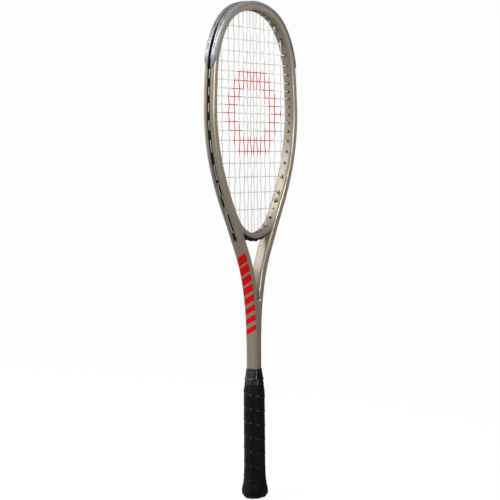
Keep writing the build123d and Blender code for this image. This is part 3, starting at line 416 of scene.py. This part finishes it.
# --- Handle covering, in millimetres ---
# rows: height, size along X, size along Y
WRAP = [(3.5, 35.4, 28.6), (4.6, 36.7, 29.9), (6.0, 37.5, 30.7), (8.0, 37.9, 31.0),
        (10.0, 38.0, 31.1), (14.0, 37.1, 30.3), (20.0, 34.6, 27.6), (26.0, 33.1, 26.1),
        (34.0, 32.3, 25.3), (46.0, 31.6, 24.6), (148.0, 31.2, 24.4), (156.0, 28.0, 23.2),
        (163.0, 24.9, 22.0), (165.5, 23.2, 21.2)]
UNDER = [(3.5, 34.3, 27.5), (9.0, 34.35, 27.55), (13.0, 33.65, 26.85), (19.0, 31.4, 24.4),
         (25.0, 29.9, 22.9), (33.0, 29.4, 22.4), (36.0, 27.9, 20.9), (148.0, 27.4, 20.6),
         (163.0, 21.9, 19.45), (165.5, 21.0, 19.2)]
TAPE = [(158.0, 27.7, 23.4), (163.0, 25.4, 22.4), (166.5, 23.0, 21.5)]
WRAP_BOTTOM, WRAP_TOP = WRAP[0][0], WRAP[-1][0]
TAPE_BOTTOM, TAPE_TOP = TAPE[0][0], TAPE[-1][0]
WRAP_OFFSET = 0.12           # added to the radius inside and out
PITCH = 19.8                 # rise of the wrap in one turn
SEAM_START = 15.6            # height of a seam at angle 0
BOTTOM_ROUND = (0.9, 1.1)    # inset and height of the rounded bottom edge
SHARP = 30.0                 # corner sharpness of the outer surfaces
UNDER_SHARP = 60.0
FULL_TURN = 2 * np.pi
AROUND = np.linspace(0, FULL_TURN, 288, endpoint=False)


def sizes_at(profile, z):
    heights, widths, depths = np.array(profile).T
    return np.interp(z, heights, widths), np.interp(z, heights, depths)


def octagon(theta, width, depth, sharpness):
    """Radius of a rounded octagon in the direction theta."""
    half_x, half_y = width / 2, depth / 2
    flat_x, flat_y = half_x * 0.54, half_y * 0.36
    normal_x, normal_y = half_y - flat_y, half_x - flat_x
    length = np.hypot(normal_x, normal_y)
    reach = (normal_x * half_x + normal_y * flat_y) / length
    cos, sin = np.abs(np.cos(theta)), np.abs(np.sin(theta))
    slanted = (cos * normal_x + sin * normal_y) / length / reach
    terms = (cos / half_x) ** sharpness + (sin / half_y) ** sharpness + slanted ** sharpness
    return terms ** (-1.0 / sharpness)


def step(t):
    """Smooth step from 0 to 1."""
    t = np.clip(t, 0, 1)
    return t * t * (3 - 2 * t)


def wave(theta, z, seed, count=7):
    """Gentle hand-wound irregularity, the same every run."""
    rng = np.random.default_rng(seed)
    total = np.zeros_like(theta)
    for _ in range(count):
        turns = rng.integers(1, 6)
        climb = rng.uniform(0.02, 0.22)
        phase = rng.uniform(0, 6.28)
        total += rng.uniform(0.4, 1.0) * np.sin(turns * theta + climb * z + phase)
    return total / count


def points(radius, theta, z):
    return np.stack([radius * np.cos(theta), radius * np.sin(theta), z], -1)


def closed_tube(name, outer, inner):
    """A closed shell in metres from two grids of points in mm, each rows x around."""
    count = outer.shape[1]
    verts = np.concatenate([outer.reshape(-1, 3), inner.reshape(-1, 3)])
    inner_start = outer.shape[0] * count
    here = np.arange(count)
    after = (here + 1) % count
    rings = []
    for low in range(0, inner_start - count, count):
        high = low + count
        rings.append([low + here, low + after, high + after, high + here])
    for low in range(inner_start, len(verts) - count, count):
        high = low + count
        rings.append([low + here, high + here, high + after, low + after])
    # join the two surfaces at the bottom and the top
    rings.append([here, inner_start + here, inner_start + after, after])
    low, high = inner_start - count, len(verts) - count
    rings.append([low + here, low + after, high + after, high + here])
    faces = np.concatenate([np.stack(corners, 1) for corners in rings])
    mesh = bpy.data.meshes.new(name)
    mesh.vertices.add(len(verts))
    mesh.vertices.foreach_set("co", (verts / 1000.0).astype(np.float32).ravel())
    mesh.loops.add(faces.size)
    mesh.loops.foreach_set("vertex_index", faces.astype(np.int32).ravel())
    mesh.polygons.add(len(faces))
    mesh.polygons.foreach_set("loop_start", np.arange(0, faces.size, 4, dtype=np.int32))
    mesh.polygons.foreach_set("use_smooth", np.ones(len(faces), bool))
    mesh.update(calc_edges=True)
    mesh.validate()
    return add_object(name, mesh)


def wrap_surface(theta, z):
    """Outer radius of the wound grip, and the mask for the painted highlight and rubbed gloss
    along its seam.
    """
    wobble = 0.55 * wave(theta, z, seed=5)
    turn = (z + wobble - SEAM_START) / PITCH + theta / FULL_TURN
    past = turn % 1.0 * PITCH    # height above the last seam
    # a tight groove at the seam, a rolled edge, then a slow fall to the next seam
    groove = 0.46 * (1 - step(past / 1.2)) + 0.34 * step(past - (PITCH - 1.0))
    crown = 0.26 * np.exp(-((past - 2.3) / 1.5) ** 2) - 0.10 * step((past - 4.0) / 13.0)
    # fine ribs pressed along the edge of the wrap
    rib = 0.05 * np.exp(-((past - 3.4) / 0.7) ** 2) * np.sin(theta * 46)
    press = 0.10 * wave(theta * 2, z * 1.4, seed=11) + 0.06 * wave(theta * 3, z * 2.3, seed=12)
    # relief dies out at the bottom edge and just below the tape
    near_tape = step((z - (TAPE_BOTTOM - 3.0)) / 3.0)
    fade = step((z - WRAP_BOTTOM) / 3.5) * (1 - near_tape)
    # mask for the painted highlight and rubbed gloss just above each seam
    seam_rub_and_painted_highlight = np.exp(-((past - 1.35) / 0.55) ** 2) * fade
    relief = (crown + press + rib - groove) * (0.15 + 0.85 * fade)
    radius = octagon(theta, *sizes_at(WRAP, z), SHARP) + WRAP_OFFSET - 0.2 * near_tape + relief
    return radius, seam_rub_and_painted_highlight


def painted_corner_glint_mask(theta, z, seam_rub_and_painted_highlight):
    """Painted glints where the seams cross the octagon's corners, growing upwards."""
    fine = np.linspace(0, FULL_TURN, 2880, endpoint=False)
    ring = octagon(fine, *sizes_at(WRAP, 148.0), SHARP)
    corners = fine[(ring > np.roll(ring, 1)) & (ring >= np.roll(ring, -1))]
    away = np.min([np.abs((theta - corner + np.pi) % FULL_TURN - np.pi) for corner in corners],
                  axis=0)
    upward = np.clip(0.25 + 0.75 * (z - 20.0) / 100.0, 0.15, 1.0)
    return seam_rub_and_painted_highlight * np.exp(-(away / 0.045) ** 2) * upward


def fit(tube, material, replaced):
    """Give the tube its material and its place in the model."""
    tube.data.materials.append(material)
    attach(tube, "root")
    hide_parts(replaced)


def build_grip():
    heights = np.concatenate([[WRAP_BOTTOM, 3.62, 3.85, 4.2, 4.6, 5.1],
                              np.arange(5.6, 165.3, 0.40), [WRAP_TOP]])
    theta, z = np.meshgrid(AROUND, heights)
    radius, seam_rub_and_painted_highlight = wrap_surface(theta, z)
    inset, rise = BOTTOM_ROUND
    radius -= inset * np.clip((WRAP_BOTTOM + rise - z) / rise, 0, 1) ** 2
    theta_in, z_in = np.meshgrid(AROUND, [row[0] for row in UNDER])
    radius_in = octagon(theta_in, *sizes_at(UNDER, z_in), UNDER_SHARP) + WRAP_OFFSET
    grip = closed_tube("grip_wrap_wound", points(radius, theta, z),
                       points(radius_in, theta_in, z_in))
    # the first attribute carries the painted seam highlight and rubbed gloss, the second the
    # painted corner glints
    for name, amount in (("seam", seam_rub_and_painted_highlight), ("painted_corner_glint", painted_corner_glint_mask(theta, z, seam_rub_and_painted_highlight))):
        values = np.concatenate([amount.ravel(), np.zeros(theta_in.size)])
        attribute = grip.data.attributes.new(name, "FLOAT", "POINT")
        attribute.data.foreach_set("value", values.astype(np.float32))
    fit(grip, leather("grip_leather"), "grip_wrap")


def build_tape():
    """Finishing tape over the top of the grip."""
    heights = np.concatenate([[TAPE_BOTTOM, 158.1, 158.25], np.arange(158.5, 166.3, 0.25),
                              [TAPE_TOP]])
    theta, z = np.meshgrid(AROUND, heights)
    radius = octagon(theta, *sizes_at(TAPE, z), SHARP)
    # softened bottom edge, narrow upright notch, shallow groove around, slight unevenness
    radius -= 0.12 * (1 - step((z - TAPE_BOTTOM) / 0.30))
    radius -= 0.10 * (1 - step((np.mod(theta - 0.7, FULL_TURN) - 0.02) / 0.05))
    radius -= 0.05 * step((z - 160.9) / 0.25) * (1 - step((z - 161.6) / 0.25))
    radius -= 0.03 * (1 + wave(theta * 2, z * 3, seed=21))
    # the inside sinks below the wrap and stays under the tape's own surface
    theta_in, z_in = np.meshgrid(AROUND, [TAPE_BOTTOM, 159.0, 160.0, 162.0, 163.0, 165.0,
                                          TAPE_TOP])
    radius_in = np.minimum(wrap_surface(theta_in, z_in)[0] - 0.30,
                           octagon(theta_in, *sizes_at(TAPE, z_in), SHARP) - 0.45)
    tape = closed_tube("finishing_tape_wound", points(radius, theta, z),
                       points(radius_in, theta_in, z_in))
    fit(tape, tape_vinyl("tape_vinyl"), "finishing_tape")


build_grip()
build_tape()


# --- Floor, light and camera, in metres ---
AWAY = Vector((0.83464, 0.54811, 0.0))     # level, away from the camera
LEFT = Vector((-0.54857, 0.83607, 0.0))    # level, to the camera's left
FLOOR_NEAR, FLOOR_FAR = -4.0, 2.2
CURVE_RADIUS, CURVE_STEPS = 1.6, 12
WALL_TOP = 5.0
HALF_WIDTH = 5.0


def floor_paper(name):
    """Pale paper for the light; the camera sees it darker but with a glow added."""
    mat = new_material(name)
    to_camera = mat.add("LightPath", output="Is Camera Ray")
    paper = mat.mix(mat.ramp(mat.noise(scale=6), over=(0.3, 0.7)),
                    rgb(160, 160, 160), rgb(164, 164, 164))
    mat.set(color=mat.mix(to_camera, paper, rgb(72, 72, 72)), rough=0.9, spec=0.0)
    mat.bump(mat.noise(scale=300), distance=0.0002, strength=0.1)
    plain = Value(mat, mat.surface.outputs[0])
    glow = mat.add("Emission", {"Color": (1, 1, 1), "Strength": 0.95})
    glowing = mat.add("AddShader", {0: plain, 1: glow})
    seen = mat.add("MixShader", {0: to_camera, 1: plain, 2: glowing})
    mat.put(mat.nodes["Material Output"].inputs["Surface"], seen)
    return mat.owner


def build_floor():
    """Floor that curves up into a wall behind the racket."""
    far = AWAY.normalized()
    side = Vector((-far.y, far.x, 0.0))
    profile = [(FLOOR_NEAR, 0.0), (FLOOR_FAR, 0.0)]
    for k in range(1, CURVE_STEPS + 1):
        angle = math.radians(90 * k / CURVE_STEPS)
        profile.append((FLOOR_FAR + CURVE_RADIUS * math.sin(angle),
                        CURVE_RADIUS - CURVE_RADIUS * math.cos(angle)))
    profile.append((FLOOR_FAR + CURVE_RADIUS, WALL_TOP))
    verts = [tuple(far * distance + side * across + Vector((0, 0, height)))
             for distance, height in profile for across in (-HALF_WIDTH, HALF_WIDTH)]
    faces = [(i, i + 1, i + 3, i + 2) for i in range(0, len(verts) - 2, 2)]
    mesh = bpy.data.meshes.new("floor")
    mesh.from_pydata(verts, [], faces)
    mesh.polygons.foreach_set("use_smooth", [True] * len(faces))
    floor = add_object("floor", mesh)
    mesh.materials.append(floor_paper("floor_paper"))


def build_world():
    """Sky that brightens towards the upper left."""
    world = bpy.data.worlds.new("studio")
    bpy.context.scene.world = world
    sky = Shader(world, surface="Background", coordinates="Generated")
    bright = (LEFT * 0.80 + Vector((0, 0, 0.70)) - AWAY * 0.15).normalized()
    facing = sky.add("VectorMath", {0: sky.place, 1: bright}, "Value", operation="DOT_PRODUCT")
    strength = sky.ramp(facing, over=(-0.55, 0.95), to=(0.02, 0.60))
    sky.put(sky.surface.inputs["Strength"], strength)
    sky.put(sky.surface.inputs["Color"], (1.0, 0.99, 0.975))


# name, place, target, (width, height), watts, spread in degrees or None
LIGHTS = [
    ("key_top", (-1.05, 0.35, 2.25), (0, 0, 0.50), (0.9, 0.9), 19, None),
    ("soft_left", (-1.10, 1.10, 1.70), (0.03, 0, 0.42), (1.3, 1.0), 15, None),
    ("side_key", (-1.75, 0.55, 1.25), (0, 0, 0.50), (0.8, 0.8), 2.5, None),
    ("left_strip", (-0.9, 1.7, 0.7), (0, 0, 0.40), (0.5, 1.8), 13, None),
    ("front_fill", (-0.9, -2.0, 0.95), (0, 0, 0.60), (0.9, 0.9), 1.6, 26),
    ("head_fill", (0.3, -1.9, 1.5), (0, 0, 0.69), (0.5, 0.5), 1.1, 22),
]


def build_lights():
    for name, place, target, size, watts, spread in LIGHTS:
        light = bpy.data.lights.new(name, "AREA")
        light.shape = "RECTANGLE"
        light.size, light.size_y = size
        light.energy = watts
        if spread:
            light.spread = math.radians(spread)
        lamp = add_object(name, light)
        lamp.location = place
        lamp.rotation_mode = "QUATERNION"
        aim = Vector(target) - Vector(place)
        lamp.rotation_quaternion = aim.to_track_quat("-Z", "Y")


def build_camera():
    lens = bpy.data.cameras.new("camera")
    lens.sensor_width = 36.0
    lens.lens = 119.46528
    lens.clip_start, lens.clip_end = 0.05, 50.0
    camera = add_object("camera", lens)
    right = Vector((0.54857257, -0.8360711, -0.00729729)).normalized()
    up = Vector((0.04941387, 0.02370704, 0.99849699)).normalized()
    back = right.cross(up).normalized()
    up = back.cross(right).normalized()
    turn = Matrix((right, up, back)).transposed().to_4x4()
    camera.matrix_world = Matrix.Translation((-1.91638, -1.25319, 0.46900)) @ turn
    scene = bpy.context.scene
    scene.camera = camera
    scene.view_settings.view_transform = "Standard"
    scene.view_settings.look = "None"
    scene.view_settings.exposure = 0.0


build_floor()
build_world()
build_lights()
build_camera()

bpy.context.view_layer.update()
